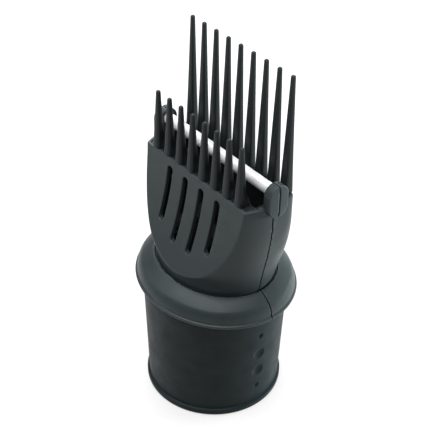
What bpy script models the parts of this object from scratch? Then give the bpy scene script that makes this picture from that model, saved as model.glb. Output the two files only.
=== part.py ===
"""Dryer diffuser with two comb rows: a push-on head for a hand-held hair dryer.

Metres, +Z up. The origin is the middle of the open lower end, where the dryer's barrel goes in.
X runs along the tooth rows and the cross rod, and the vented face with the short teeth is at -Y.
"""
import bmesh
import bpy
import math

PART_NAME = "dryer_diffuser_comb"

# Driving dimensions
TOTAL_HEIGHT = 0.1482
GAP = 0.0003
WALL = 0.0020

# Soft cuff that grips the dryer's barrel
LIP_R = 0.0273
LIP_H = 0.0024
CUFF_R_LOW = 0.0263
CUFF_R_TOP = 0.0283
CUFF_TOP_Z = 0.0525
SOCKET_R = 0.0235
GRIP_RIB_H = 0.0007
GRIP_RIB_Z = (0.0080, 0.0170, 0.0260)
DIMPLE_Z = (0.0379, 0.0284, 0.0195, 0.0108)
DIMPLE_R = (0.0013, 0.0027, 0.0027, 0.0013)
DIMPLE_DEPTH = 0.0004

# Stop ring that locks the cuff to the spigot and stops the barrel
STOP_Z = 0.0359
STOP_PLATE_H = 0.0018
STOP_PLATE_R = 0.0260
STOP_BORE_R = 0.0212
STOP_TOP_Z = 0.0435
STOP_SEAT_R = 0.0231
STOP_SEAT_H = 0.0003

# Spigot and flange, moulded in halves on the two shells
SPIGOT_R = 0.0249
SPIGOT_BORE_R = 0.0229
SPIGOT_Z = 0.0380
FLANGE_GROOVE_R = 0.0286
FLANGE_GROOVE_Z = 0.0528
RIM_Z = 0.0504
RIM_EDGE_H = 0.0010
RIM_X = 0.0338
RIM_Y = 0.0298

# Head: an oval neck that flares, cut by a hollowed face at the front
NECK_Z = 0.0602
NECK_X = 0.0255
NECK_Y = 0.0210
HEAD_TOP_Z = 0.1015
HEAD_TOP_X = 0.0310
HEAD_TOP_Y = 0.0270
FACE_TOP_Y = 0.0111
FACE_SLOPE = 0.078
FACE_CURVE = 5.15

# Vent slots in the front face
SLOT_X = (-0.01365, -0.00455, 0.00455, 0.01365)
SLOT_WIDTH = 0.0030
SLOT_TOP_Z = 0.0985
SLOT_LOW_Z = (0.0763, 0.0718, 0.0718, 0.0763)
SLOT_INNER_Y = -0.0072

# Comb rows
PITCH = 0.00669
ROW_Y = 0.0091
FRONT_TEETH = 8
BACK_TEETH = 9
FRONT_TIP_Z = 0.1253
RAIL_LOW_Z = 0.0992
RAIL_CAP_Z = HEAD_TOP_Z + GAP
RAIL_TOP_Z = RAIL_CAP_Z + 0.0011
RAIL_STEM_T = 0.0023
RAIL_CAP_T = 0.0034
RAIL_STEM_X = 0.0245
TIP_WIDTH = 0.00135
TIP_ROUND = 0.0006
FRONT_ROOT = (0.0039, 0.00385)
BACK_ROOT = (0.0040, 0.0040)
GUSSET_DEPTH = 0.0020
GUSSET_TOP_Z = 0.1085

# Ledge inside the rim that carries the rails
LEDGE_Y = (0.0056, 0.0100)
LEDGE_X = 0.0268
LEDGE_Z = (0.0977, HEAD_TOP_Z - 0.0002)

# Cross rod, its bushes and the posts that hold them
ROD_Z = 0.1071
ROD_R = 0.00225
ROD_HALF = 0.0301
JOURNAL_R = 0.00125
JOURNAL_END = 0.0322
BUSH_X = (0.0305, 0.0323)
BUSH_R = 0.0029
POST_X = (0.0295, 0.0336)
POST_R = 0.0044
POST_LOW_Z = 0.0978
POST_EDGE = 0.0007

# Self-tapping screws, driven from the back
SCREWS = ((-0.0225, 0.0910), (0.0225, 0.0910), (-0.0148, 0.0696), (0.0148, 0.0696))
SCREW_SEAT_Y = 0.0062
SCREW_HEAD_R = 0.0025
SCREW_HEAD_H = 0.0018
SCREW_SHANK_R = 0.0012
SCREW_END_Y = -0.0088
COLUMN_R = 0.0030
TUBE_R = 0.0036

SECTION_POINTS = 64
BEYOND = 0.05


def clear_scene():
    for old in list(bpy.data.objects):
        bpy.data.objects.remove(old, do_unlink=True)


def new_collection(name):
    collection = bpy.data.collections.new(name)
    bpy.context.scene.collection.children.link(collection)
    return collection


def plastic(name, colour, roughness, metallic=0.0):
    material = bpy.data.materials.new(name)
    material.use_nodes = True
    shader = material.node_tree.nodes["Principled BSDF"]
    shader.inputs["Base Color"].default_value = (*colour, 1.0)
    shader.inputs["Roughness"].default_value = roughness
    shader.inputs["Metallic"].default_value = metallic
    return material


def add_object(name, mesh, collection, material=None):
    made = bpy.data.objects.new(name, mesh)
    collection.objects.link(made)
    if material:
        mesh.materials.append(material)
    return made


def finish_mesh(name, bm):
    bmesh.ops.recalc_face_normals(bm, faces=bm.faces)
    mesh = bpy.data.meshes.new(name)
    bm.to_mesh(mesh)
    bm.free()
    return mesh


def smooth(made, angle=35.0):
    made.data.shade_smooth()
    made.data.set_sharp_from_angle(angle=math.radians(angle))


def cutter(name, mesh):
    made = add_object(name, mesh, cutters)
    made.hide_render = True
    made.display_type = "WIRE"
    return made


def boolean(target, other, operation):
    step = target.modifiers.new(operation.title() + "_" + other.name, "BOOLEAN")
    step.operation = operation
    step.object = other
    step.solver = "EXACT"


def superellipse(z, half_x, half_y, power=2.0, back_y=None, back_power=None):
    """A closed ring of points at height z; its back half may have a depth and power of its own."""
    points = []
    for index in range(SECTION_POINTS):
        angle = 2.0 * math.pi * (index + 0.5) / SECTION_POINTS
        cosine, sine = math.cos(angle), math.sin(angle)
        behind = sine > 0.0 and back_y is not None
        depth = back_y if behind else half_y
        exponent = 2.0 / (back_power if behind else power)
        x = half_x * math.copysign(abs(cosine) ** exponent, cosine)
        y = depth * math.copysign(abs(sine) ** exponent, sine)
        points.append((x, y, z))
    return points


def loft_mesh(name, sections):
    """Skin a stack of rings that have the same number of points, with both ends closed."""
    bm = bmesh.new()
    rings = [[bm.verts.new(point) for point in section] for section in sections]
    for lower, upper in zip(rings, rings[1:]):
        count = len(lower)
        for index in range(count):
            after = (index + 1) % count
            bm.faces.new((lower[index], lower[after], upper[after], upper[index]))
    bm.faces.new(rings[0][::-1])
    bm.faces.new(rings[-1])
    return finish_mesh(name, bm)


def turned_mesh(name, profile, steps):
    """Turn a closed (radius, z) outline round Z; the outline runs down its outer side."""
    bm = bmesh.new()
    verts = [bm.verts.new((radius, 0.0, z)) for radius, z in profile]
    count = len(verts)
    on_axis = [abs(radius) < 1e-9 for radius, _ in profile]
    edges = []
    for index in range(count):
        after = (index + 1) % count
        if not (on_axis[index] and on_axis[after]):
            edges.append(bm.edges.new((verts[index], verts[after])))
    bmesh.ops.spin(
        bm, geom=verts + edges, axis=(0, 0, 1), cent=(0, 0, 0),
        steps=steps, angle=2.0 * math.pi, use_merge=True,
    )
    bmesh.ops.remove_doubles(bm, verts=bm.verts, dist=1e-6)
    return finish_mesh(name, bm)


def prism_mesh(name, outline, low, high, axis):
    """Extrude a closed outline from low to high; axis X takes (y, z) points, axis Y takes (x, z)."""
    def place(first, second, along):
        return (along, first, second) if axis == "X" else (first, along, second)
    ends = [[place(*point, along) for point in outline] for along in (low, high)]
    return loft_mesh(name, ends)


def box_mesh(name, low, high):
    bm = bmesh.new()
    bmesh.ops.create_cube(bm, size=1.0)
    for vert in bm.verts:
        vert.co = [a + (c + 0.5) * (b - a) for a, b, c in zip(low, high, vert.co)]
    return finish_mesh(name, bm)


def rod_mesh(name, radius, low_y, high_y, x, z, steps=20):
    """A round bar along Y."""
    outline = []
    for index in range(steps):
        angle = 2.0 * math.pi * index / steps
        outline.append((x + radius * math.cos(angle), z + radius * math.sin(angle)))
    return prism_mesh(name, outline, low_y, high_y, "Y")


def stadium(centre, low, high, radius, steps=10):
    """An upright outline with round ends whose arcs are centred at heights low and high."""
    outline = []
    for index in range(steps + 1):
        angle = math.pi * index / steps
        outline.append((centre + radius * math.cos(angle), high + radius * math.sin(angle)))
    for index in range(steps + 1):
        angle = math.pi + math.pi * index / steps
        outline.append((centre + radius * math.cos(angle), low + radius * math.sin(angle)))
    return outline


def blend(stops, z):
    """The value at height z, on straight lines between (height, value) stops."""
    for (z0, v0), (z1, v1) in zip(stops, stops[1:]):
        if z <= z1:
            return v0 + (v1 - v0) * (z - z0) / (z1 - z0)
    return stops[-1][1]


# Half width, half depth and squareness of the head, each as (height, value) stops
HEAD_SIDE = ((NECK_Z, NECK_X), (0.0684, 0.0270), (0.0782, 0.0291), (0.0878, 0.0305), (HEAD_TOP_Z, HEAD_TOP_X))
HEAD_DEPTH = ((NECK_Z, NECK_Y), (0.0640, 0.0214), (0.0703, 0.0238), (0.0780, 0.0253), (HEAD_TOP_Z, HEAD_TOP_Y))
BACK_SQUARE = (
    (NECK_Z, 2.0), (0.0640, 2.1), (0.0690, 2.55), (0.0730, 3.15),
    (0.0770, 3.75), (0.0840, 5.1), (0.0920, 7.0), (HEAD_TOP_Z, 9.5),
)


def face_depth(z):
    """Distance of the hollowed front face from the middle plane at height z."""
    drop = HEAD_TOP_Z - z
    return FACE_TOP_Y + FACE_SLOPE * drop + FACE_CURVE * drop * drop


def wall_distance(x, z, side):
    """Distance of the outer wall from the middle plane at a place x, z."""
    share = abs(x) / blend(HEAD_SIDE, z)
    depth = blend(HEAD_DEPTH, z)
    if side == "front":
        return min(face_depth(z), depth * (1.0 - share ** 2) ** 0.5)
    power = blend(BACK_SQUARE, z)
    return min(face_depth(z), depth) * (1.0 - share ** power) ** (1.0 / power)


def head_section(z, inset=0.0):
    level = min(z, HEAD_TOP_Z)
    half_x = blend(HEAD_SIDE, level) - inset
    half_y = blend(HEAD_DEPTH, level) - inset
    back = min(face_depth(level), blend(HEAD_DEPTH, level)) - inset
    return superellipse(z, half_x, half_y, 2.0, back, blend(BACK_SQUARE, level))


def head_levels(start, end, count):
    return [start + (end - start) * index / (count - 1) for index in range(count)]


def shell_outer_mesh():
    sections = [superellipse(z, r, r) for r, z in (
        (SPIGOT_R, SPIGOT_Z),
        (SPIGOT_R, FLANGE_GROOVE_Z),
        (FLANGE_GROOVE_R, FLANGE_GROOVE_Z),
        (FLANGE_GROOVE_R, RIM_Z),
    )]
    sections.append(superellipse(RIM_Z, RIM_X, RIM_Y))
    for reach in (1.0, 0.97, 0.90, 0.78, 0.60, 0.40, 0.20, 0.05):
        rise = (1.0 - reach ** 2.2) ** 0.5
        z = RIM_Z + RIM_EDGE_H + (NECK_Z - RIM_Z - RIM_EDGE_H) * rise
        half_x = NECK_X + (RIM_X - NECK_X) * reach
        half_y = NECK_Y + (RIM_Y - NECK_Y) * reach
        sections.append(superellipse(z, half_x, half_y))
    sections += [head_section(z) for z in head_levels(NECK_Z, HEAD_TOP_Z, 14)]
    return loft_mesh("shell_outer", sections)


def cavity_mesh():
    sections = [superellipse(z, r, r) for r, z in (
        (SPIGOT_BORE_R, SPIGOT_Z - 0.001),
        (SPIGOT_BORE_R, RIM_Z),
    )]
    sections.append(superellipse(NECK_Z - 0.002, NECK_X - WALL, NECK_Y - WALL))
    sections += [head_section(z, WALL) for z in head_levels(NECK_Z + 0.001, HEAD_TOP_Z, 11)]
    sections.append(head_section(HEAD_TOP_Z + 0.002, WALL))
    return loft_mesh("cavity", sections)


def face_cut_mesh(name, inset=0.0):
    """The space in front of the hollowed face, as a bar along X."""
    low, high = NECK_Z + 0.0005, HEAD_TOP_Z + 0.004
    outline = [(-face_depth(z) + inset, z) for z in head_levels(low, high, 14)]
    outline += [(-BEYOND, high), (-BEYOND, low)]
    return prism_mesh(name, outline, -BEYOND, BEYOND, "X")


def build_head():
    """The whole head as one solid, and then its front and back halves."""
    cavity = cutter("cavity", cavity_mesh())
    boolean(cavity, cutter("face_inner_cut", face_cut_mesh("face_inner_cut", WALL)), "DIFFERENCE")

    for side, sign in (("front", -1.0), ("back", 1.0)):
        low_y, high_y = sorted((sign * GAP / 2, sign * BEYOND))
        shell = add_object(side + "_shell", shell_outer_mesh(), parts, shell_materials[side])
        boolean(shell, cutter(side + "_face_cut", face_cut_mesh("face_cut")), "DIFFERENCE")
        boolean(shell, cavity, "DIFFERENCE")

        add_rail_seat(shell, side, sign)
        add_rod_posts(shell, side)
        add_screw_columns(shell, side, sign)
        if side == "front":
            for number, (x, low_z) in enumerate(zip(SLOT_X, SLOT_LOW_Z)):
                radius = SLOT_WIDTH / 2
                outline = stadium(x, low_z + radius, SLOT_TOP_Z - radius, radius)
                slot = prism_mesh("slot", outline, -BEYOND, SLOT_INNER_Y, "Y")
                boolean(shell, cutter("slot_%d" % number, slot), "DIFFERENCE")
        space = box_mesh("half", (-BEYOND, low_y, 0.0), (BEYOND, high_y, TOTAL_HEIGHT))
        half = cutter(side + "_half", space)
        boolean(shell, half, "INTERSECT")
        smooth(shell)


def add_rail_seat(shell, side, sign):
    """A ledge inside the rim with a pocket for the comb's rail."""
    def span(y_from, y_to):
        return tuple(sorted((sign * y_from, sign * y_to)))
    near, far = span(*LEDGE_Y)
    ledge = box_mesh("ledge", (-LEDGE_X, near, LEDGE_Z[0]), (LEDGE_X, far, LEDGE_Z[1]))
    boolean(shell, cutter(side + "_ledge", ledge), "UNION")
    stem = RAIL_STEM_T / 2 + GAP
    rail_x = RAIL_STEM_X + GAP
    near, far = span(ROW_Y - stem, ROW_Y + stem)
    pocket = box_mesh("pocket", (-rail_x, near, RAIL_LOW_Z - GAP), (rail_x, far, HEAD_TOP_Z + 0.003))
    boolean(shell, cutter(side + "_pocket", pocket), "DIFFERENCE")


def add_rod_posts(shell, side):
    """The upright posts at both ends of the rod, with their bush pockets."""
    outline = stadium(0.0, POST_LOW_Z + POST_R, ROD_Z, POST_R)
    for end, sign in (("left", -1.0), ("right", 1.0)):
        low, high = sorted((sign * POST_X[0], sign * POST_X[1]))
        post = cutter("%s_post_%s" % (side, end), prism_mesh("post", outline, low, high, "X"))
        edge = post.modifiers.new("Edge", "BEVEL")
        edge.width = POST_EDGE
        edge.segments = 2
        edge.limit_method = "ANGLE"
        edge.angle_limit = math.radians(60)
        boolean(shell, post, "UNION")
        bore = [
            (0.0, BUSH_X[1] + GAP), (BUSH_R + GAP, BUSH_X[1] + GAP), (BUSH_R + GAP, BUSH_X[0] - GAP),
            (ROD_R + GAP, BUSH_X[0] - GAP), (ROD_R + GAP, POST_X[0] - 0.001), (0.0, POST_X[0] - 0.001),
        ]
        way = cutter("%s_bore_%s" % (side, end), turned_mesh("bore", bore, 22))
        way.rotation_euler = (0.0, sign * math.pi / 2, 0.0)
        way.location = (0.0, 0.0, ROD_Z)
        boolean(shell, way, "DIFFERENCE")


def add_screw_columns(shell, side, sign):
    """Front posts take the screw threads, back tubes take the heads."""
    for number, (x, z) in enumerate(SCREWS):
        far = wall_distance(abs(x) + COLUMN_R, z, side) - WALL * 0.4
        low, high = sorted((sign * GAP, sign * far))
        radius = TUBE_R if side == "back" else COLUMN_R
        column = rod_mesh("column", radius, low, high, x, z)
        boolean(shell, cutter("%s_column_%d" % (side, number), column), "UNION")
        hole_r = SCREW_SHANK_R + GAP
        hole = [(0.0, 0.001), (hole_r, 0.001), (hole_r, SCREW_END_Y - GAP), (0.0, SCREW_END_Y - GAP)]
        if side == "back":
            seat, well_r, mouth = SCREW_SEAT_Y - GAP, SCREW_HEAD_R + GAP, BEYOND
            hole = [(0.0, mouth), (well_r, mouth), (well_r, seat), (hole_r, seat), (hole_r, -0.001), (0.0, -0.001)]
        way = cutter("%s_screw_way_%d" % (side, number), turned_mesh("screw_way", hole, 18))
        way.rotation_euler = (-math.pi / 2, 0.0, 0.0)
        way.location = (x, 0.0, z)
        boolean(shell, way, "DIFFERENCE")


def tooth_mesh(x, y, root_z, tip_z, root, gusset):
    """One tapered tooth with a rounded tip; a gusset deepens its root on the +Y side."""
    root_width, root_depth = root
    length = tip_z - root_z
    sections = []
    for share in (0.0, 0.12, 0.30, 0.60, 1.0):
        taper = 1.0 - share
        z = root_z + share * (length - TIP_ROUND)
        width = TIP_WIDTH + (root_width - TIP_WIDTH) * taper
        depth = TIP_WIDTH + (root_depth - TIP_WIDTH) * (0.7 * taper + 0.3 * taper ** 3)
        flare = gusset * max(0.0, (GUSSET_TOP_Z - z) / (GUSSET_TOP_Z - root_z))
        sections.append((z, width / 2, depth / 2, flare))
    sections.append((tip_z - TIP_ROUND * 0.35, TIP_WIDTH * 0.40, TIP_WIDTH * 0.40, 0.0))
    sections.append((tip_z, TIP_WIDTH * 0.20, TIP_WIDTH * 0.20, 0.0))
    rings = []
    for z, half_x, half_y, flare in sections:
        ring = []
        for index in range(12):
            angle = 2.0 * math.pi * (index + 0.5) / 12
            cosine, sine = math.cos(angle), math.sin(angle)
            reach = half_y + (flare if sine > 0.0 else 0.0)
            ring.append((
                x + half_x * math.copysign(abs(cosine) ** 0.75, cosine),
                y + reach * math.copysign(abs(sine) ** 0.75, sine),
                z,
            ))
        rings.append(ring)
    return loft_mesh("tooth", rings)


def build_comb(name, sign, count, tip_z, root, gusset, material):
    """A row of teeth standing on a round-ended cap, with a stem below that locks into the shell."""
    y = sign * ROW_Y
    cap_r = RAIL_CAP_T / 2
    last_x = (count - 1) / 2 * PITCH
    outline = [(first, second + y) for second, first in stadium(0.0, -last_x, last_x, cap_r, 8)]
    cap = [[(*point, z) for point in outline] for z in (RAIL_CAP_Z, RAIL_TOP_Z)]
    comb = add_object(name, loft_mesh(name, cap), parts, material)
    stem = RAIL_STEM_T / 2
    low = (-RAIL_STEM_X, y - stem, RAIL_LOW_Z)
    high = (RAIL_STEM_X, y + stem, RAIL_CAP_Z + 0.0004)
    boolean(comb, cutter(name + "_stem", box_mesh("stem", low, high)), "UNION")
    for index in range(count):
        x = index * PITCH - last_x
        tooth = tooth_mesh(x, y, RAIL_CAP_Z + 0.0003, tip_z, root, gusset)
        boolean(comb, cutter("%s_tooth_%d" % (name, index + 1), tooth), "UNION")
    smooth(comb)


def build_cuff():
    def outside(z):
        return CUFF_R_LOW + (CUFF_R_TOP - CUFF_R_LOW) * z / CUFF_TOP_Z
    neck_r = SPIGOT_R + GAP
    groove_low, groove_high = STOP_Z - GAP, STOP_Z + STOP_PLATE_H + GAP
    profile = [(outside(CUFF_TOP_Z), CUFF_TOP_Z)]
    profile += [(outside(z), z) for z in (0.040, 0.027, 0.014, LIP_H + 0.0006)]
    profile += [
        (LIP_R, LIP_H), (LIP_R, 0.0005), (LIP_R - 0.0005, 0.0),
        (SOCKET_R + 0.0008, 0.0), (SOCKET_R, 0.0010),
    ]
    for z in GRIP_RIB_Z:
        profile += [
            (SOCKET_R, z - 0.0012), (SOCKET_R - GRIP_RIB_H, z - 0.0004),
            (SOCKET_R - GRIP_RIB_H, z + 0.0004), (SOCKET_R, z + 0.0012),
        ]
    profile += [
        (SOCKET_R, groove_low), (STOP_PLATE_R + GAP, groove_low),
        (STOP_PLATE_R + GAP, groove_high), (neck_r, groove_high), (neck_r, CUFF_TOP_Z),
    ]
    steps = 56
    cuff = add_object("cuff", turned_mesh("cuff", profile, steps), parts, cuff_material)
    cuff.rotation_euler.z = math.pi / steps
    for number, (z, radius) in enumerate(zip(DIMPLE_Z, DIMPLE_R)):
        for side, sign in (("left", -1.0), ("right", 1.0)):
            floor = outside(z) - DIMPLE_DEPTH
            low, high = sorted((sign * floor, sign * (floor + 0.003)))
            pit = prism_mesh("pit", stadium(0.0, z, z, radius, 8), low, high, "X")
            boolean(cuff, cutter("dimple_%s_%d" % (side, number), pit), "DIFFERENCE")
    smooth(cuff)


def build_stop_ring():
    """A plate held in the cuff's groove, a low seat for the barrel's end and an upstand in the spigot."""
    upstand_r = SPIGOT_BORE_R - GAP
    seat_z = STOP_Z - STOP_SEAT_H
    profile = [
        (upstand_r, STOP_TOP_Z), (upstand_r, STOP_Z + STOP_PLATE_H),
        (STOP_PLATE_R, STOP_Z + STOP_PLATE_H), (STOP_PLATE_R, STOP_Z),
        (STOP_SEAT_R, STOP_Z), (STOP_SEAT_R, seat_z),
        (STOP_BORE_R, seat_z), (STOP_BORE_R, STOP_TOP_Z),
    ]
    ring = add_object("barrel_stop_ring", turned_mesh("barrel_stop_ring", profile, 56), parts, ring_material)
    smooth(ring)


def lay_along_x(made, x=0.0):
    made.rotation_euler = (0.0, math.pi / 2, 0.0)
    made.location = (x, 0.0, ROD_Z)


def build_rod():
    chamfer = 0.0002
    profile = [
        (0.0, JOURNAL_END), (JOURNAL_R - chamfer, JOURNAL_END), (JOURNAL_R, JOURNAL_END - chamfer),
        (JOURNAL_R, ROD_HALF), (ROD_R, ROD_HALF),
    ]
    profile += [(radius, -z) for radius, z in reversed(profile)]
    rod = add_object("cross_rod", turned_mesh("cross_rod", profile, 28), parts, rod_material)
    lay_along_x(rod)
    smooth(rod)
    half = (BUSH_X[1] - BUSH_X[0]) / 2
    bore = JOURNAL_R + GAP
    profile = [(BUSH_R, half), (BUSH_R, -half), (bore, -half), (bore, half)]
    for end, sign in (("left", -1.0), ("right", 1.0)):
        mesh = turned_mesh("bush", profile, 24)
        bush = add_object("rod_bush_" + end, mesh, parts, bush_material)
        lay_along_x(bush, sign * (BUSH_X[0] + BUSH_X[1]) / 2)
        smooth(bush)


def build_screws():
    """Pan heads at the back, plain shanks towards the front."""
    profile = [
        (0.0, SCREW_SEAT_Y + SCREW_HEAD_H),
        (SCREW_HEAD_R * 0.7, SCREW_SEAT_Y + SCREW_HEAD_H),
        (SCREW_HEAD_R, SCREW_SEAT_Y + SCREW_HEAD_H * 0.5),
        (SCREW_HEAD_R, SCREW_SEAT_Y),
        (SCREW_SHANK_R, SCREW_SEAT_Y),
        (SCREW_SHANK_R, SCREW_END_Y + 0.0015),
        (SCREW_SHANK_R * 0.3, SCREW_END_Y),
        (0.0, SCREW_END_Y),
    ]
    for number, (x, z) in enumerate(SCREWS):
        screw = add_object("shell_screw_%d" % (number + 1), turned_mesh("screw", profile, 14), parts, steel)
        screw.rotation_euler = (-math.pi / 2, 0.0, 0.0)
        screw.location = (x, 0.0, z)
        smooth(screw)


clear_scene()
parts = new_collection(PART_NAME)
cutters = new_collection("cutters")
shell_materials = {
    "front": plastic("front_shell_plastic", (0.050, 0.056, 0.058), 0.42),
    "back": plastic("back_shell_plastic", (0.046, 0.052, 0.054), 0.42),
}
comb_material = plastic("comb_plastic", (0.022, 0.026, 0.028), 0.38)
back_comb_material = plastic("back_comb_plastic", (0.024, 0.028, 0.030), 0.38)
cuff_material = plastic("cuff_rubber", (0.040, 0.045, 0.047), 0.62)
ring_material = plastic("stop_ring_plastic", (0.018, 0.018, 0.019), 0.50)
rod_material = plastic("rod_aluminium", (0.78, 0.80, 0.80), 0.34, 1.0)
bush_material = plastic("bush_nylon", (0.70, 0.69, 0.65), 0.45)
steel = plastic("screw_steel", (0.45, 0.45, 0.46), 0.35, 1.0)

build_head()
build_comb("front_comb", -1.0, FRONT_TEETH, FRONT_TIP_Z, FRONT_ROOT, GUSSET_DEPTH, comb_material)
build_comb("back_comb", 1.0, BACK_TEETH, TOTAL_HEIGHT, BACK_ROOT, 0.0, back_comb_material)
build_cuff()
build_stop_ring()
build_rod()
build_screws()
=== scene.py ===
import math

import bmesh
import bpy
import numpy as np
from mathutils import Matrix, Vector


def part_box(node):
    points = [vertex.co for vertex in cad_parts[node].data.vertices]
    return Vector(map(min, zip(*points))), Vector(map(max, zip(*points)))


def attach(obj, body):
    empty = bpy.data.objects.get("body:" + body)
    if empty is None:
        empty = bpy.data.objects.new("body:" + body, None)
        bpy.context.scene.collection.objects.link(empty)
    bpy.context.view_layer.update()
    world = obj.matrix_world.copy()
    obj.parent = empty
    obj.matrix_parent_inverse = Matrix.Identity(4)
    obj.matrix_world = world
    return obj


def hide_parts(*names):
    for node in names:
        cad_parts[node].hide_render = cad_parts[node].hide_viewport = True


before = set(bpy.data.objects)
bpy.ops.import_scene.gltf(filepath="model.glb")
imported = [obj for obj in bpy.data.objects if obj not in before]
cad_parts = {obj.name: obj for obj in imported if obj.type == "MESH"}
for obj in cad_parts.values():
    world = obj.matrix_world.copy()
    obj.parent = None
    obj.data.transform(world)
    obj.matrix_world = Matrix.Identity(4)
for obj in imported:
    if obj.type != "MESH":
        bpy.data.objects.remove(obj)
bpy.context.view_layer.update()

# Everything below is worked out in millimetres in the frame's own axes, and scaled once by MM.
MM = 0.001


def span(node):
    """A CAD node's lowest and highest corners in millimetres."""
    low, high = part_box(node)
    return [value / MM for value in low], [value / MM for value in high]


SHELL_LOW, SHELL_HIGH = span("front_shell")
CUFF_LOW, CUFF_HIGH = span("cuff")
RING_LOW, RING_HIGH = span("barrel_stop_ring")
ROD_LOW, ROD_HIGH = span("cross_rod")
FRONT_TIP = span("front_comb")[1][2]
BACK_TIP = span("back_comb")[1][2]
SCREW_NODES = ["shell_screw_%d" % number for number in (1, 2, 3, 4)]

# Head
TOP_Z = 101.5
NECK_Z = 60.2
NECK_X, NECK_Y = 25.5, 21.0
RIM_Z = 50.4
RIM_X, RIM_Y = 33.75, 29.75
BEAD_R, BEAD_OUT = 0.7, 0.75
SLOPE_DROP, SLOPE_POWER, SHOULDER = 5.0, 1.5, 2.0
WALL, SKIN, HEAD_SUNK = 2.0, 1.0, 4.0
LIP, LIP_EDGE = 1.2, 0.6
FIT = 0.10
SEAM, SEAM_EDGE = 0.22, 0.12
STEP = 0.35
# The head's half width and half depth, and how square its back is, from the neck to the top.
SIDE_Z = (NECK_Z, 68.4, 78.2, 87.8, TOP_Z)
SIDE_X = (NECK_X, 27.0, 29.1, 30.5, 31.0)
DEPTH_Z = (NECK_Z, 64.0, 70.3, 78.0, TOP_Z)
DEPTH_Y = (NECK_Y, 21.5, 23.6, 25.3, 27.0)
SQUARE_Z = (NECK_Z, 64.0, 69.0, 73.0, 77.0, 84.0, 92.0, TOP_Z)
SQUARE_N = (2.0, 2.1, 2.55, 3.15, 3.75, 5.1, 7.0, 9.5)
WALL_EDGE = 0.45
CREASE_OUT, CREASE_R, CREASE_DEPTH, CREASE_TOP = 0.34, 0.40, 1.2, 0.4
FACE_TOP, FACE_SLOPE, FACE_CURVE = 11.1, 0.078, 0.00515
SLOTS = ((-13.65, 76.3), (-4.55, 71.8), (4.55, 71.8), (13.65, 76.3))
SLOT_R, SLOT_TOP, SLOT_DEEP_Y = 1.5, 98.5, 7.2
LEDGE_Y, LEDGE_Z, LEDGE_PLAY, RAIL_Z = 5.6, 97.7, 0.3, 99.8
SPIGOT_R, BORE_R, SPIGOT_Z = 24.9, 22.9, 38.0
GROOVE_R, GROOVE_Z, SPIGOT_SUNK = 28.6, 52.8, 1.0
POST_MID, POST_HALF, POST_R, POST_LOW = 31.55, 2.06, 4.2, 102.0
POST_CROWN, POST_EDGE, POST_TOP_DROP = 0.25, 0.25, 0.3
ROD_Z = (ROD_LOW[2] + ROD_HIGH[2]) / 2
ROD_R = (ROD_HIGH[2] - ROD_LOW[2]) / 2
SCREWS = ((-22.5, 91.0), (22.5, 91.0), (-14.8, 69.6), (14.8, 69.6))
SEAT_Y, SEAT_SUNK = 6.2, 0.3
TUBE_FRONT_R, TUBE_BACK_R, WELL_R = 3.0, 3.6, 2.8
SHANK_HOLE_R, SHANK_HOLE_Y = 1.5, -9.1
MOUTH_PLAY, MOUTH_IN, MOUTH_OUT = 0.18, 28.5, 30.5
POCKET_R, POCKET_IN, POCKET_OUT = 3.0, 30.2, 32.6

# Combs
PITCH = 6.69
ROW_Y = 9.1
TIP_HALF = 0.74
TIP_ROUND = 0.62
TOOTH_SQUARE = 3.4
TOOTH_SUNK, ROOT_DROP = 1.2, 0.6
FLARE_Z, FLARE_POWER = 108.6, 1.15


# ---------------------------------------------------------------- shapes as distance fields
def round_and(a, b, radius):
    """Where both hold, with the edge between them rounded."""
    corner = np.hypot(np.maximum(a + radius, 0.0), np.maximum(b + radius, 0.0))
    return np.minimum(np.maximum(a, b), -radius) + corner


def round_or(a, b, radius):
    """Where either holds, with a fillet between them."""
    corner = np.hypot(np.maximum(radius - a, 0.0), np.maximum(radius - b, 0.0))
    return np.maximum(np.minimum(a, b), radius) - corner


def without(a, b, radius):
    return round_and(a, -b, radius)


def smooth_read(stops, values, z):
    """A curve through a few (stop, value) pairs, with no corners."""
    stops, values = np.array(stops), np.array(values)
    slopes = np.gradient(values, stops)
    z = np.clip(z, stops[0], stops[-1])
    index = np.clip(np.searchsorted(stops, z, side="right") - 1, 0, len(stops) - 2)
    width = stops[index + 1] - stops[index]
    t = (z - stops[index]) / width
    keep = (1 + 2 * t) * (1 - t) ** 2
    lead = t * (1 - t) ** 2 * width
    move = t * t * (3 - 2 * t)
    tail = t * t * (t - 1) * width
    return (
        keep * values[index] + lead * slopes[index]
        + move * values[index + 1] + tail * slopes[index + 1]
    )


def face_depth(z):
    drop = TOP_Z - z
    return FACE_TOP + FACE_SLOPE * drop + FACE_CURVE * drop * drop


def oval(x, y, half_x, half_y, power):
    """Distance to an upright wall whose plan is a superellipse."""
    u, v = np.abs(x) / half_x, np.abs(y) / half_y
    size = np.maximum((u ** power + v ** power) ** (1.0 / power), 0.05)
    rate = size ** (1.0 - power)
    steep = np.hypot(rate * u ** (power - 1.0) / half_x, rate * v ** (power - 1.0) / half_y)
    return (size - 1.0) / np.maximum(steep, 1e-3)


def head_wall(x, y, z, inset, edge):
    """The flared oval head, cut by the hollowed front face."""
    level = np.clip(z, NECK_Z, TOP_Z)
    deep = smooth_read(DEPTH_Z, DEPTH_Y, level)
    back = np.minimum(face_depth(level), deep)
    half_x = smooth_read(SIDE_Z, SIDE_X, level) - inset
    half_y = np.where(y < 0.0, deep, back) - inset
    power = np.where(y < 0.0, 2.0, smooth_read(SQUARE_Z, SQUARE_N, level))
    slope = FACE_SLOPE + 2.0 * FACE_CURVE * (TOP_Z - level)
    face = (-y - face_depth(level)) / np.sqrt(1.0 + slope ** 2) + inset
    return round_and(oval(x, y, half_x, half_y, power), face, edge)


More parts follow.
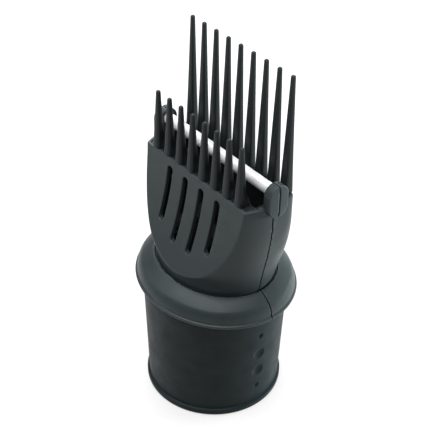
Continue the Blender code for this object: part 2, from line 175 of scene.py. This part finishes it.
def flange(x, y, z):
    """The oval collar below the neck: sloping top, round shoulder, upright side and a bead."""
    radius = np.hypot(x, y)
    neck = radius / np.maximum(np.hypot(x / NECK_X, y / NECK_Y), 1e-6)
    rim = radius / np.maximum(np.hypot(x / RIM_X, y / RIM_Y), 1e-6)
    width = np.maximum(rim - BEAD_OUT - neck, 1.0)
    out = np.clip((radius - neck) / width, 0.0, 1.3)
    slope = SLOPE_DROP * SLOPE_POWER * out ** (SLOPE_POWER - 1.0) / width
    top = (z - NECK_Z + SLOPE_DROP * out ** SLOPE_POWER) / np.sqrt(1.0 + slope ** 2)
    side = oval(x, y, RIM_X - BEAD_OUT, RIM_Y - BEAD_OUT, 2.0)
    collar = round_and(round_and(side, top, SHOULDER), RIM_Z - z, 0.3)
    bead = np.hypot(radius - rim + BEAD_R, z - RIM_Z - BEAD_R) - BEAD_R
    return round_or(collar, bead, 0.25)


def post(x, y, z):
    """The upright obround end that holds the rod, with a crowned outer face."""
    along = np.maximum(np.maximum(POST_LOW - z, z - ROD_Z + POST_TOP_DROP), 0.0)
    away = np.hypot(y, along)
    crown = POST_CROWN * np.clip(away / POST_R, 0.0, 1.0) ** 2
    side = np.abs(np.abs(x) - POST_MID) - POST_HALF + crown
    return round_and(side, away - POST_R, POST_EDGE)


def duct(x, y, z):
    """The hollow inside, from the spigot's bore to the open top."""
    meet_z = NECK_Z - 2.0
    below = np.clip((z - RIM_Z) / (meet_z - RIM_Z), 0.0, 1.0)
    half_x = BORE_R + (NECK_X - WALL - BORE_R) * below
    half_y = BORE_R + (NECK_Y - WALL - BORE_R) * below
    low = round_and(oval(x, y, half_x, half_y, 2.0), z - NECK_Z, 0.5)
    high = round_and(head_wall(x, y, z, WALL, 1.2), meet_z - z, 0.5)
    return np.minimum(low, high)


def head(x, y, z):
    """Flange, head, posts, ledges and screw tubes as one solid, not yet split in halves."""
    wall = head_wall(x, y, z, 0.0, WALL_EDGE)
    solid = round_and(wall, z - TOP_Z, 0.3)
    solid = np.maximum(solid, NECK_Z - HEAD_SUNK - z)
    solid = np.minimum(solid, flange(x, y, z))
    crease = np.hypot(wall - CREASE_OUT, np.maximum(NECK_Z - CREASE_DEPTH - z, 0.0)) - CREASE_R
    solid = without(solid, np.maximum(crease, z - NECK_Z - CREASE_TOP), 0.06)
    tuck = round_and(np.hypot(x, y) - GROOVE_R, z - GROOVE_Z, 0.3)
    solid = without(solid, tuck, 0.2)
    spigot = np.maximum(SPIGOT_Z - z, z - GROOVE_Z - SPIGOT_SUNK)
    spigot = np.maximum(np.hypot(x, y) - SPIGOT_R, spigot)
    solid = np.minimum(solid, spigot)
    solid = round_or(solid, post(x, y, z), 0.15)
    inner = duct(x, y, z)
    solid = without(solid, inner, 0.25)

    ledge = np.maximum(np.maximum(LEDGE_Y - np.abs(y), LEDGE_Z - z), z - RAIL_Z)
    solid = np.minimum(solid, np.maximum(ledge, wall + SKIN))
    rebate = np.maximum(RAIL_Z - z, LEDGE_Y - LEDGE_PLAY - np.abs(y))
    rebate = np.maximum(head_wall(x, y, z, LIP, LIP_EDGE), rebate)
    solid = without(solid, rebate, 0.22)

    for place_x, place_z in SCREWS:
        away = np.hypot(x - place_x, z - place_z)
        tube_r = np.where(y < 0.0, TUBE_FRONT_R, TUBE_BACK_R)
        tube = np.maximum(away - tube_r, wall + SKIN)
        solid = np.minimum(solid, tube)
        well = round_and(away - WELL_R, SEAT_Y - SEAT_SUNK - y, 0.3)
        solid = without(solid, well, 0.35)
        solid = np.maximum(solid, -np.maximum(away - SHANK_HOLE_R, SHANK_HOLE_Y - y))

    for place_x, low_z in SLOTS:
        along = z - np.clip(z, low_z + SLOT_R, SLOT_TOP - SLOT_R)
        slot = np.maximum(np.hypot(x - place_x, along) - SLOT_R, y + SLOT_DEEP_Y)
        solid = without(solid, slot, 0.3)

    bore = np.hypot(y, z - ROD_Z)
    reach = np.abs(x)
    mouth = np.maximum(bore - ROD_R - MOUTH_PLAY, np.maximum(MOUTH_IN - reach, reach - MOUTH_OUT))
    pocket = np.maximum(bore - POCKET_R, np.maximum(POCKET_IN - reach, reach - POCKET_OUT))
    return np.maximum(without(solid, mouth, 0.2), -pocket)


def front_half(x, y, z):
    return round_and(head(x, y, z), y + SEAM, SEAM_EDGE)


def back_half(x, y, z):
    return round_and(head(x, y, z), SEAM - y, SEAM_EDGE)


def comb_field(sign, count, tip_z, root, gusset):
    """A row of teeth on its rail; sign is -1 for the row behind the slotted face.

    root holds a tooth's width and depth at its foot, and gusset how far the foot flares inwards.
    """
    last_x = (count - 1) / 2 * PITCH
    root_z = TOP_Z - ROOT_DROP

    def field(x, y, z):
        inward = -sign * y
        place = np.clip(np.round((x + last_x) / PITCH), 0, count - 1) * PITCH - last_x
        share = np.clip((z - root_z) / (tip_z - root_z), 0.0, 1.0)
        taper = 1.0 - share
        half_x = TIP_HALF + (root[0] / 2 - TIP_HALF) * taper
        half_y = TIP_HALF + (root[1] / 2 - TIP_HALF) * (0.7 * taper + 0.3 * taper ** 3)
        flare = gusset * np.clip((FLARE_Z - z) / (FLARE_Z - root_z), 0.0, 1.0) ** FLARE_POWER
        middle = -ROW_Y + flare / 2
        tooth = oval(x - place, inward - middle, half_x, half_y + flare / 2, TOOTH_SQUARE)
        tooth = round_and(tooth, z - tip_z, TIP_ROUND)
        plan = head_wall(x, y, z, LIP + FIT, LIP_EDGE)
        tooth = np.maximum(tooth, TOP_Z - TOOTH_SUNK - z)
        tooth = np.maximum(tooth, np.minimum(TOP_Z + FIT - z, plan))
        rail = np.maximum(plan, LEDGE_Y + 0.1 + inward)
        rail = round_and(rail, z - TOP_Z + STEP, 0.12)
        rail = np.maximum(rail, RAIL_Z + FIT - z)
        rail = np.maximum(rail, LEDGE_Y + inward)
        return round_or(tooth, rail, 0.45)

    return field


def screw_field(x, y, z):
    """A pan-head screw along Y with a cross recess; its seat is at y = 0 and its tip at -15."""
    head_r, dome_r, dome_y, head_edge = 2.5, 4.0, -2.2, 0.4
    arm_half, arm_reach, recess_y, recess_rise = 0.42, 1.5, 0.7, 0.25
    thread_pitch, thread_height, core_r = 1.1, 0.16, 1.02
    shank_low, shank_high, tip_y, slant = -14.6, 0.2, -15.0, 0.7

    away = np.hypot(x, z)
    dome = np.hypot(away, np.maximum(y - dome_y, 0.0)) - dome_r
    pan = round_and(np.maximum(away - head_r, -y), dome, head_edge)
    arm = np.minimum(
        np.maximum(np.abs(x) - arm_half, np.abs(z) - arm_reach),
        np.maximum(np.abs(z) - arm_half, np.abs(x) - arm_reach),
    )
    pan = without(pan, np.maximum(arm, recess_y + away * recess_rise - y), 0.08)
    turn = np.arctan2(z, x) / (2 * math.pi)
    ridge = np.abs((y / thread_pitch + turn) % 1.0 - 0.5) * slant
    thread = away - core_r - thread_height * (1 - ridge * 2)
    shank = np.maximum(thread, np.maximum(y - shank_high, shank_low - y))
    shank = np.maximum(shank, (away - (y - tip_y)) * slant)
    return np.minimum(pan, shank)


SETTLE_STEP, NORMAL_STEP, EDGE_REACH = 0.03, 0.06, 0.5


def surface_net(field, low, high, cell):
    """Points and quads where the field changes sign, one point to a grid cell."""
    axes = [np.arange(a, b + cell, cell) for a, b in zip(low, high)]
    values = field(*np.meshgrid(*axes, indexing="ij", sparse=True))
    inside = values < 0.0
    count = np.zeros([n - 1 for n in inside.shape], np.int8)
    for i in (0, 1):
        for j in (0, 1):
            for k in (0, 1):
                nx, ny, nz = count.shape
                count += inside[i:i + nx, j:j + ny, k:k + nz]
    mixed = (count > 0) & (count < 8)
    number = np.full(count.shape, -1)
    number[mixed] = np.arange(mixed.sum())
    cells = np.argwhere(mixed)
    total = np.zeros(cells.shape)
    hits = np.zeros(len(cells))
    unit = np.eye(3, dtype=int)
    quads = []
    for axis in range(3):
        second, third = (axis + 1) % 3, (axis + 2) % 3
        for a in (0, 1):
            for b in (0, 1):
                start = cells + a * unit[second] + b * unit[third]
                first_value = values[tuple(start.T)]
                next_value = values[tuple((start + unit[axis]).T)]
                crossed = (first_value < 0.0) != (next_value < 0.0)
                change = np.where(crossed, first_value - next_value, 1.0)
                share = np.where(crossed, first_value / change, 0.0)
                total += (start + share[:, None] * unit[axis]) * crossed[:, None]
                hits += crossed
        here = np.moveaxis(inside, axis, 0)
        change = np.moveaxis(here[1:] != here[:-1], 0, axis)
        edges = np.argwhere(change)
        room = (edges[:, second] > 0) & (edges[:, third] > 0)
        room &= (edges[:, second] < count.shape[second]) & (edges[:, third] < count.shape[third])
        edges = edges[room]
        around = [number[tuple((edges - a * unit[second] - b * unit[third]).T)] for a, b in
                  ((1, 1), (0, 1), (0, 0), (1, 0))]
        quad = np.stack(around, 1)
        outward = inside[tuple(edges.T)]
        quads.append(np.where(outward[:, None], quad, quad[:, ::-1]))
    return np.array(low) + cell * total / hits[:, None], np.concatenate(quads)


def slope_of(field, points, step):
    slope = np.zeros(points.shape)
    for axis in range(3):
        ahead, behind = points.copy(), points.copy()
        ahead[:, axis] += step
        behind[:, axis] -= step
        slope[:, axis] = (field(*ahead.T) - field(*behind.T)) / (2 * step)
    return slope


def settle(field, points, cell):
    """Move points onto the surface, none by more than a share of its cell at a time."""
    least_steep, share = 0.2, 0.6
    for _ in range(3):
        slope = slope_of(field, points, SETTLE_STEP)
        steep = np.maximum((slope ** 2).sum(1), least_steep)
        move = -field(*points.T)[:, None] * slope / steep[:, None]
        far = np.maximum(np.linalg.norm(move, axis=1), 1e-9)
        points = points + move * np.minimum(1.0, cell * share / far)[:, None]
    return points


def edge_share(field, points):
    """How sharply the surface bends outwards (above 0) or inwards (below 0) at each point."""
    around = -6.0 * field(*points.T)
    for axis in range(3):
        for side in (-EDGE_REACH, EDGE_REACH):
            near = points.copy()
            near[:, axis] += side
            around = around + field(*near.T)
    return np.clip(around / (2.0 * EDGE_REACH), -1.0, 1.0)


def field_piece(name, field, low, high, cell, keep, material):
    """A closed mesh of the field, thinned where it is flat, with the field's own normals."""
    points, quads = surface_net(field, low, high, cell)
    points = settle(field, points, cell)
    mesh = bpy.data.meshes.new(name)
    mesh.from_pydata((points * MM).tolist(), [], quads.tolist())
    piece = bpy.data.objects.new(name, mesh)
    bpy.context.scene.collection.objects.link(piece)
    thin = piece.modifiers.new("Thin", "DECIMATE")
    thin.ratio = keep
    depsgraph = bpy.context.evaluated_depsgraph_get()
    piece.data = bpy.data.meshes.new_from_object(piece.evaluated_get(depsgraph))
    piece.modifiers.clear()
    bpy.data.meshes.remove(mesh)
    finish_piece(piece, name, material)
    co = np.zeros(len(piece.data.vertices) * 3)
    piece.data.vertices.foreach_get("co", co)
    points = co.reshape(-1, 3) / MM
    normals = slope_of(field, points, NORMAL_STEP)
    normals /= np.maximum(np.linalg.norm(normals, axis=1), 1e-9)[:, None]
    # The edge attribute marks where the surface bends outwards; the plastics lighten those places
    # as a painted highlight.
    edge = piece.data.attributes.new("edge", "FLOAT", "POINT")
    edge.data.foreach_set("value", edge_share(field, points).astype(np.float32))
    piece.data.normals_split_custom_set_from_vertices(normals.tolist())
    return piece


def finish_piece(piece, name, material):
    piece.data.name = name
    piece.data.materials.clear()
    piece.data.materials.append(material)
    piece.data.shade_smooth()


# ---------------------------------------------------------------- turned pieces
def rounded_outline(corners, spacing, closed=True):
    """Turn (radius, height, fillet) corners into an outline with round corners."""
    points = []
    count = len(corners)
    for index, (r, z, fillet) in enumerate(corners):
        here = Vector((r, z))
        if fillet == 0.0:
            points.append(here)
            continue
        back = (Vector(corners[index - 1][:2]) - here).normalized()
        ahead = (Vector(corners[(index + 1) % count][:2]) - here).normalized()
        half = back.angle(ahead) / 2
        run = fillet / math.tan(half)
        centre = here + (back + ahead).normalized() * (fillet / math.sin(half))
        start = here + back * run - centre
        turn = math.pi - 2 * half
        if start.cross(here + ahead * run - centre) < 0:
            turn = -turn
        for step in range(6):
            angle = turn * step / 5
            points.append(centre + Matrix.Rotation(angle, 2) @ start)
    outline = []
    pairs = zip(points, points[1:] + points[:1] if closed else points[1:])
    for first, second in pairs:
        steps = max(1, round((second - first).length / spacing))
        outline += [first.lerp(second, step / steps) for step in range(steps)]
    if not closed:
        outline.append(points[-1])
    return [(point.x, point.y) for point in outline]


def turned_piece(name, outline, angles, material, dent=None, closed=True):
    """Turn an outline round Z; dent(angle, radius, z) presses the surface in."""
    bm = bmesh.new()
    rings = []
    for r, z in outline:
        ring = []
        for angle in angles:
            near = r - (dent(angle, r, z) if dent else 0.0)
            point = (near * math.cos(angle) * MM, near * math.sin(angle) * MM, z * MM)
            ring.append(bm.verts.new(point))
        rings.append(ring)
    pairs = list(zip(rings, rings[1:]))
    if closed:
        pairs.append((rings[-1], rings[0]))
    for one, other in pairs:
        for index in range(len(angles)):
            after = (index + 1) % len(angles)
            bm.faces.new((one[index], one[after], other[after], other[index]))
    if not closed:
        bm.faces.new(rings[0])
        bm.faces.new(rings[-1])
    bmesh.ops.recalc_face_normals(bm, faces=bm.faces)
    mesh = bpy.data.meshes.new(name)
    bm.to_mesh(mesh)
    bm.free()
    piece = bpy.data.objects.new(name, mesh)
    bpy.context.scene.collection.objects.link(piece)
    finish_piece(piece, name, material)
    mesh.set_sharp_from_angle(angle=math.radians(50))
    return piece


def even_angles(count):
    return [2 * math.pi * index / count for index in range(count)]


# ---------------------------------------------------------------- materials
class Finish:
    """A Principled material and short ways to wire nodes into it."""

    def __init__(self, name, roughness, metallic=0.0, specular=0.5, tint=(1.0, 1.0, 1.0)):
        self.material = bpy.data.materials.new(name)
        self.material.use_nodes = True
        self.tree = self.material.node_tree
        self.shader = self.tree.nodes["Principled BSDF"]
        self.shader.inputs["Roughness"].default_value = roughness
        self.shader.inputs["Metallic"].default_value = metallic
        self.shader.inputs["Specular IOR Level"].default_value = specular
        self.shader.inputs["Specular Tint"].default_value = (*tint, 1.0)
        self.place = self.tree.nodes.new("ShaderNodeTexCoord").outputs["Object"]

    def wire(self, source, target):
        self.tree.links.new(source, target)

    def noise(self, size, detail=2.0, stretch=(1.0, 1.0, 1.0)):
        """Noise whose blotches are about size millimetres across."""
        mapping = self.tree.nodes.new("ShaderNodeMapping")
        mapping.inputs["Scale"].default_value = stretch
        self.wire(self.place, mapping.inputs["Vector"])
        noise = self.tree.nodes.new("ShaderNodeTexNoise")
        noise.inputs["Scale"].default_value = 1.0 / (size * MM)
        noise.inputs["Detail"].default_value = detail
        self.wire(mapping.outputs["Vector"], noise.inputs["Vector"])
        return noise.outputs["Fac"]

    def mapped(self, source, low, high, from_low=0.3, from_high=0.7):
        mapped = self.tree.nodes.new("ShaderNodeMapRange")
        mapped.inputs["From Min"].default_value = from_low
        mapped.inputs["From Max"].default_value = from_high
        mapped.inputs["To Min"].default_value = low
        mapped.inputs["To Max"].default_value = high
        self.wire(source, mapped.inputs["Value"])
        return mapped.outputs["Result"]

    def mixed(self, factor, first, second):
        mix = self.tree.nodes.new("ShaderNodeMix")
        mix.data_type = "RGBA"
        self.wire(factor, mix.inputs["Factor"])
        for socket, value in ((mix.inputs["A"], first), (mix.inputs["B"], second)):
            if isinstance(value, tuple):
                socket.default_value = (*value, 1.0)
            else:
                self.wire(value, socket)
        return mix.outputs["Result"]

    def attribute(self, name):
        node = self.tree.nodes.new("ShaderNodeAttribute")
        node.attribute_name = name
        return node.outputs["Fac"]

    def bump(self, layers):
        """Stack bumps, each a (height source, depth in millimetres) pair."""
        normal = None
        for source, depth in layers:
            bump = self.tree.nodes.new("ShaderNodeBump")
            bump.inputs["Strength"].default_value = 1.0
            bump.inputs["Distance"].default_value = depth * MM
            self.wire(source, bump.inputs["Height"])
            if normal:
                self.wire(normal, bump.inputs["Normal"])
            normal = bump.outputs["Normal"]
        self.wire(normal, self.shader.inputs["Normal"])


# The slight teal cast of every reflection in the dark plastics.
COOL = (0.93, 1.0, 1.0)


def shade(colour, factor):
    return tuple(channel * factor for channel in colour)


def moulded_plastic(name, colour, roughness, grain=0.35, depth=0.010, edge_highlight=1.5, specular=0.5):
    """Spark-eroded moulded plastic: fine grain, faint flow marks, and a painted highlight on
    convex edges.
    """
    finish = Finish(name, roughness, specular=specular, tint=COOL)
    flow = finish.mapped(finish.noise(14.0, 3.0), 0.0, 1.0)
    base = finish.mixed(flow, shade(colour, 0.90), shade(colour, 1.10))
    speck = finish.mapped(finish.noise(0.5, 2.0), 0.0, 0.35, 0.56, 0.72)
    base = finish.mixed(speck, base, shade(colour, 1.5))
    # Painted highlight: convex edges are lightened towards a multiple of the colour, standing in
    # for light catching them.
    edge = finish.mapped(finish.attribute("edge"), 0.0, 0.6, 0.25, 1.0)
    base = finish.mixed(edge, base, shade(colour, edge_highlight))
    finish.wire(base, finish.shader.inputs["Base Color"])
    rough = finish.mapped(finish.noise(5.0, 4.0), roughness - 0.05, roughness + 0.06)
    finish.wire(rough, finish.shader.inputs["Roughness"])
    finish.bump([(finish.noise(grain, 3.0), depth), (finish.noise(9.0, 2.0), depth * 3)])
    return finish.material


def soft_rubber(name, colour, roughness):
    """Soft-touch coating: very fine pores and faint rub marks round the sleeve."""
    finish = Finish(name, roughness, specular=0.12, tint=COOL)
    rub = finish.mapped(finish.noise(10.0, 4.0, (1.0, 1.0, 3.5)), 0.0, 1.0)
    base = finish.mixed(rub, shade(colour, 0.88), shade(colour, 1.12))
    pore = finish.mapped(finish.noise(0.35, 1.0), 0.0, 0.5, 0.60, 0.75)
    base = finish.mixed(pore, base, shade(colour, 0.6))
    finish.wire(base, finish.shader.inputs["Base Color"])
    rough = finish.mapped(finish.noise(6.0, 3.0), roughness - 0.05, roughness + 0.07)
    finish.wire(rough, finish.shader.inputs["Roughness"])
    finish.bump([(finish.noise(0.28, 2.0), 0.012), (finish.noise(7.0, 2.0), 0.03)])
    return finish.material


def turned_metal(name, colour, roughness):
    """Satin bar with lathe lines round it and a few faint scuffs along it."""
    finish = Finish(name, roughness, metallic=0.35)
    lines = finish.noise(0.30, 2.0, (1.0, 0.04, 0.04))
    scuff = finish.mapped(finish.noise(1.6, 4.0, (0.25, 1.0, 1.0)), 0.0, 1.0)
    base = finish.mixed(scuff, shade(colour, 0.94), shade(colour, 1.02))
    finish.wire(base, finish.shader.inputs["Base Color"])
    rough = finish.mapped(lines, roughness - 0.06, roughness + 0.08)
    finish.wire(rough, finish.shader.inputs["Roughness"])
    finish.bump([(lines, 0.0015)])
    return finish.material


def plated_steel(name, colour, roughness):
    finish = Finish(name, roughness, metallic=1.0)
    cloud = finish.mapped(finish.noise(1.2, 3.0), 0.0, 1.0)
    base = finish.mixed(cloud, shade(colour, 0.82), shade(colour, 1.05))
    finish.wire(base, finish.shader.inputs["Base Color"])
    rough = finish.mapped(finish.noise(0.5, 3.0), roughness - 0.08, roughness + 0.12)
    finish.wire(rough, finish.shader.inputs["Roughness"])
    finish.bump([(finish.noise(0.2, 2.0), 0.006)])
    return finish.material


# The edge factors below set how strongly each plastic's convex edges are lightened as a painted
# highlight.
shell_finish = moulded_plastic(
    "shell_plastic", (0.0215, 0.0285, 0.0295), 0.38,
    edge_highlight=2.8, specular=0.22,
)
comb_finish = moulded_plastic(
    "comb_plastic", (0.0100, 0.0130, 0.0138), 0.32,
    grain=0.3, depth=0.006, edge_highlight=4.5, specular=0.14,
)
cuff_finish = soft_rubber("cuff_rubber", (0.0072, 0.0120, 0.0132), 0.50)
ring_finish = moulded_plastic("ring_plastic", (0.018, 0.019, 0.020), 0.50)
rod_finish = turned_metal("rod_aluminium", (0.62, 0.64, 0.635), 0.42)
bush_finish = moulded_plastic("bush_acetal", (0.62, 0.60, 0.55), 0.40, edge_highlight=1.1)
screw_finish = plated_steel("screw_steel", (0.62, 0.62, 0.63), 0.30)


# ---------------------------------------------------------------- the pieces
def place(piece, body, slot, *nodes):
    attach(piece, body)
    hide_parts(*nodes)


def build_shells():
    margin, cell, keep = 1.0, 0.36, 0.42
    low = [SHELL_LOW[0] - margin, SHELL_LOW[1] - margin, SHELL_LOW[2] - margin]
    high = [SHELL_HIGH[0] + margin, margin, SHELL_HIGH[2] + margin]
    front = field_piece("front_shell_moulding", front_half, low, high, cell, keep, shell_finish)
    place(front, "head", "shell", "front_shell")
    low, high = [low[0], -margin, low[2]], [high[0], -low[1], high[2]]
    back = field_piece("back_shell_moulding", back_half, low, high, cell, keep, shell_finish)
    place(back, "head", "shell", "back_shell")


def build_combs():
    rows = (
        ("front_comb", -1.0, 8, FRONT_TIP, (4.1, 4.0), 2.0),
        ("back_comb", 1.0, 9, BACK_TIP, (4.2, 4.1), 0.0),
    )
    cell, keep = 0.27, 0.6
    for node, sign, count, tip, root, gusset in rows:
        near, far = sorted((sign * 4.8, sign * 12.0))
        low, high = (-30.0, near, RAIL_Z - 0.6), (30.0, far, tip + 0.7)
        field = comb_field(sign, count, tip, root, gusset)
        comb = field_piece(node + "_moulding", field, low, high, cell, keep, comb_finish)
        place(comb, "head", "comb", node)


def build_cuff():
    low_r, top_r, top_z = 26.3, (CUFF_HIGH[0] - CUFF_LOW[0]) / 2, CUFF_HIGH[2]
    lip_r, lip_h, socket_r, rib_r = 27.28, 2.4, 23.5, 22.8
    groove_low, groove_high, groove_r, neck_r = 35.6, 38.0, 26.3, 25.2

    def outside(z):
        return low_r + (top_r - low_r) * z / top_z

    corners = [
        (top_r, top_z, 0.5), (outside(lip_h + 0.5), lip_h + 0.5, 0.35), (lip_r, lip_h, 0.25),
        (lip_r, 0.0, 0.8), (socket_r, 0.0, 0.8),
    ]
    for z in (8.0, 17.0, 26.0):
        corners += [
            (socket_r, z - 1.2, 0.3), (rib_r, z - 0.3, 0.25),
            (rib_r, z + 0.3, 0.25), (socket_r, z + 1.2, 0.3),
        ]
    corners += [
        (socket_r, groove_low, 0.2), (groove_r, groove_low, 0.0), (groove_r, groove_high, 0.0),
        (neck_r, groove_high, 0.2), (neck_r, top_z, 0.5),
    ]
    dimples = ((37.9, 1.3), (28.4, 2.7), (19.5, 2.7), (10.8, 1.3))
    outer_wall_r = low_r - 1.0

    def dent(angle, r, z):
        if r < outer_wall_r:
            return 0.0
        across = r * math.sin(angle)
        depth = 0.0
        for place_z, radius in dimples:
            away = math.hypot(across, z - place_z)
            if away < radius:
                deepest = 0.50 + 0.12 * radius
                depth = deepest * (1.0 - (away / radius) ** 2) ** 0.8
        return depth

    # The spacing is fine over the two dimple columns, at 0 and 180 degrees, and coarse elsewhere.
    dimple_edge = math.radians(7.2)
    fine, coarse = math.radians(0.4), math.radians(2.0)
    angles = [-dimple_edge + fine * index for index in range(36)]
    angles += [dimple_edge + coarse * index for index in range(83)]
    angles += [math.pi + angle for angle in angles]
    outline = rounded_outline(corners, 0.35)
    cuff = turned_piece("cuff_sleeve", outline, angles, cuff_finish, dent)
    place(cuff, "head", "cuff", "cuff")


def build_stop_ring():
    seat_z, top_z = RING_LOW[2], RING_HIGH[2]
    plate_low, plate_high = seat_z + 0.3, seat_z + 2.1
    plate_r, seat_r, bore_r, sleeve_r = RING_HIGH[0], 23.1, 21.2, 22.6
    corners = [
        (sleeve_r, top_z, 0.3), (sleeve_r, plate_high, 0.2), (plate_r, plate_high, 0.2),
        (plate_r, plate_low, 0.2), (seat_r, plate_low, 0.0), (seat_r, seat_z, 0.1),
        (bore_r, seat_z, 0.5), (bore_r, top_z, 0.3),
    ]
    outline = rounded_outline(corners, 0.8)
    ring = turned_piece("stop_ring_turned", outline, even_angles(180), ring_finish)
    place(ring, "head", "stop_ring", "barrel_stop_ring")


def build_rod():
    half, end, journal, axis_r = 30.05, ROD_HIGH[0], 1.25, 0.02
    corners = [
        (axis_r, -end, 0.0), (journal, -end, 0.25), (journal, -half, 0.1), (ROD_R, -half, 0.3),
        (ROD_R, half, 0.3), (journal, half, 0.1), (journal, end, 0.25), (axis_r, end, 0.0),
    ]
    outline = rounded_outline(corners, 1.0, closed=False)
    rod = turned_piece("cross_rod_bar", outline, even_angles(72), rod_finish, closed=False)
    move = Matrix.Translation((0.0, 0.0, ROD_Z * MM))
    rod.data.transform(move @ Matrix.Rotation(math.pi / 2, 4, "Y"))
    place(rod, "rod", "rod", "cross_rod")


def build_bushes():
    outer_r, bore_r = 2.85, 1.55
    for node in ("rod_bush_left", "rod_bush_right"):
        low, high = span(node)
        half = (high[0] - low[0]) / 2
        corners = [
            (outer_r, half, 0.2), (outer_r, -half, 0.2),
            (bore_r, -half, 0.15), (bore_r, half, 0.15),
        ]
        outline = rounded_outline(corners, 0.6)
        bush = turned_piece(node + "_turned", outline, even_angles(64), bush_finish)
        move = Matrix.Translation(((low[0] + high[0]) / 2 * MM, 0.0, ROD_Z * MM))
        bush.data.transform(move @ Matrix.Rotation(math.pi / 2, 4, "Y"))
        place(bush, "head", "bush", node)


def build_screws():
    """Four copies of one screw, each driven home to its own angle."""
    low, high = (-3.0, -15.6, -3.0), (3.0, 2.6, 3.0)
    cell, keep, turn_per_mm = 0.17, 0.5, 0.7
    pattern = None
    for node, (x, z) in zip(SCREW_NODES, SCREWS):
        name = node + "_driven"
        if pattern is None:
            screw = field_piece(name, screw_field, low, high, cell, keep, screw_finish)
            pattern = screw.data.copy()
        else:
            screw = bpy.data.objects.new(name, pattern.copy())
            bpy.context.scene.collection.objects.link(screw)
        turn = Matrix.Rotation(turn_per_mm * x, 4, "Y")
        screw.data.transform(Matrix.Translation((x * MM, SEAT_Y * MM, z * MM)) @ turn)
        place(screw, "head", "screw", node)


# ---------------------------------------------------------------- floor, lights and camera
# In metres, like everything that belongs to the stage.
FLOOR_HALF, FLOOR_DROP = 3.0, 0.0002
AIM = (0.0, 0.0, 0.075)
WHITE = (1.0, 1.0, 1.0, 1.0)


def build_floor():
    mesh = bpy.data.meshes.new("floor")
    bm = bmesh.new()
    bmesh.ops.create_grid(bm, x_segments=1, y_segments=1, size=FLOOR_HALF)
    bm.to_mesh(mesh)
    bm.free()
    floor = bpy.data.objects.new("floor", mesh)
    bpy.context.scene.collection.objects.link(floor)
    paper = bpy.data.materials.new("floor_paper")
    paper.use_nodes = True
    shader = paper.node_tree.nodes["Principled BSDF"]
    shader.inputs["Base Color"].default_value = (0.27, 0.27, 0.27, 1.0)
    shader.inputs["Roughness"].default_value = 0.9
    shader.inputs["Specular IOR Level"].default_value = 0.0
    shader.inputs["Emission Color"].default_value = WHITE
    shader.inputs["Emission Strength"].default_value = 0.58
    mesh.materials.append(paper)
    floor.location.z = -FLOOR_DROP
    floor.visible_diffuse = False


def softbox(name, position, size, power, mirrored=True):
    light = bpy.data.lights.new(name, "AREA")
    light.shape = "RECTANGLE"
    light.size, light.size_y = size
    light.energy = power
    lamp = bpy.data.objects.new(name, light)
    bpy.context.scene.collection.objects.link(lamp)
    lamp.location = position
    beam = Vector(AIM) - Vector(position)
    lamp.rotation_euler = beam.to_track_quat("-Z", "Y").to_euler()
    lamp.visible_glossy = mirrored


def build_lights():
    world = bpy.data.worlds.new("studio")
    world.use_nodes = True
    background = world.node_tree.nodes["Background"]
    background.inputs["Color"].default_value = WHITE
    background.inputs["Strength"].default_value = 0.20
    bpy.context.scene.world = world
    softbox("top_box", (0.0, -0.25, 1.1), (1.2, 1.2), 23.0)
    softbox("back_box", (-0.75, 0.62, 0.85), (1.3, 0.8), 16.0)
    softbox("left_box", (-0.65, -0.65, 0.55), (0.6, 0.8), 1.6)
    softbox("rim_box", (0.38, 1.05, 0.12), (0.9, 0.22), 58.0, mirrored=False)


def build_camera():
    azimuth, elevation, roll = (math.radians(angle) for angle in (50.37, 37.005, 1.195))
    distance = 0.42249
    target = Vector((-0.43, -0.53, 79.1)) * MM
    back = Vector((
        math.sin(azimuth) * math.cos(elevation),
        -math.cos(azimuth) * math.cos(elevation),
        math.sin(elevation),
    ))
    level = Vector((math.cos(azimuth), math.sin(azimuth), 0.0))
    rise = back.cross(level)
    right = level * math.cos(roll) + rise * math.sin(roll)
    up = rise * math.cos(roll) - level * math.sin(roll)
    data = bpy.data.cameras.new("camera")
    data.sensor_width = 36.0
    data.lens = 94.48
    data.clip_start = 0.01
    camera = bpy.data.objects.new("camera", data)
    bpy.context.scene.collection.objects.link(camera)
    turned = Matrix((right, up, back)).transposed().to_4x4()
    camera.matrix_world = Matrix.Translation(target + back * distance) @ turned
    bpy.context.scene.camera = camera


bpy.context.scene.view_settings.view_transform = "Standard"
build_camera()
build_shells()
build_combs()
build_cuff()
build_stop_ring()
build_rod()
build_bushes()
build_screws()
build_floor()
build_lights()
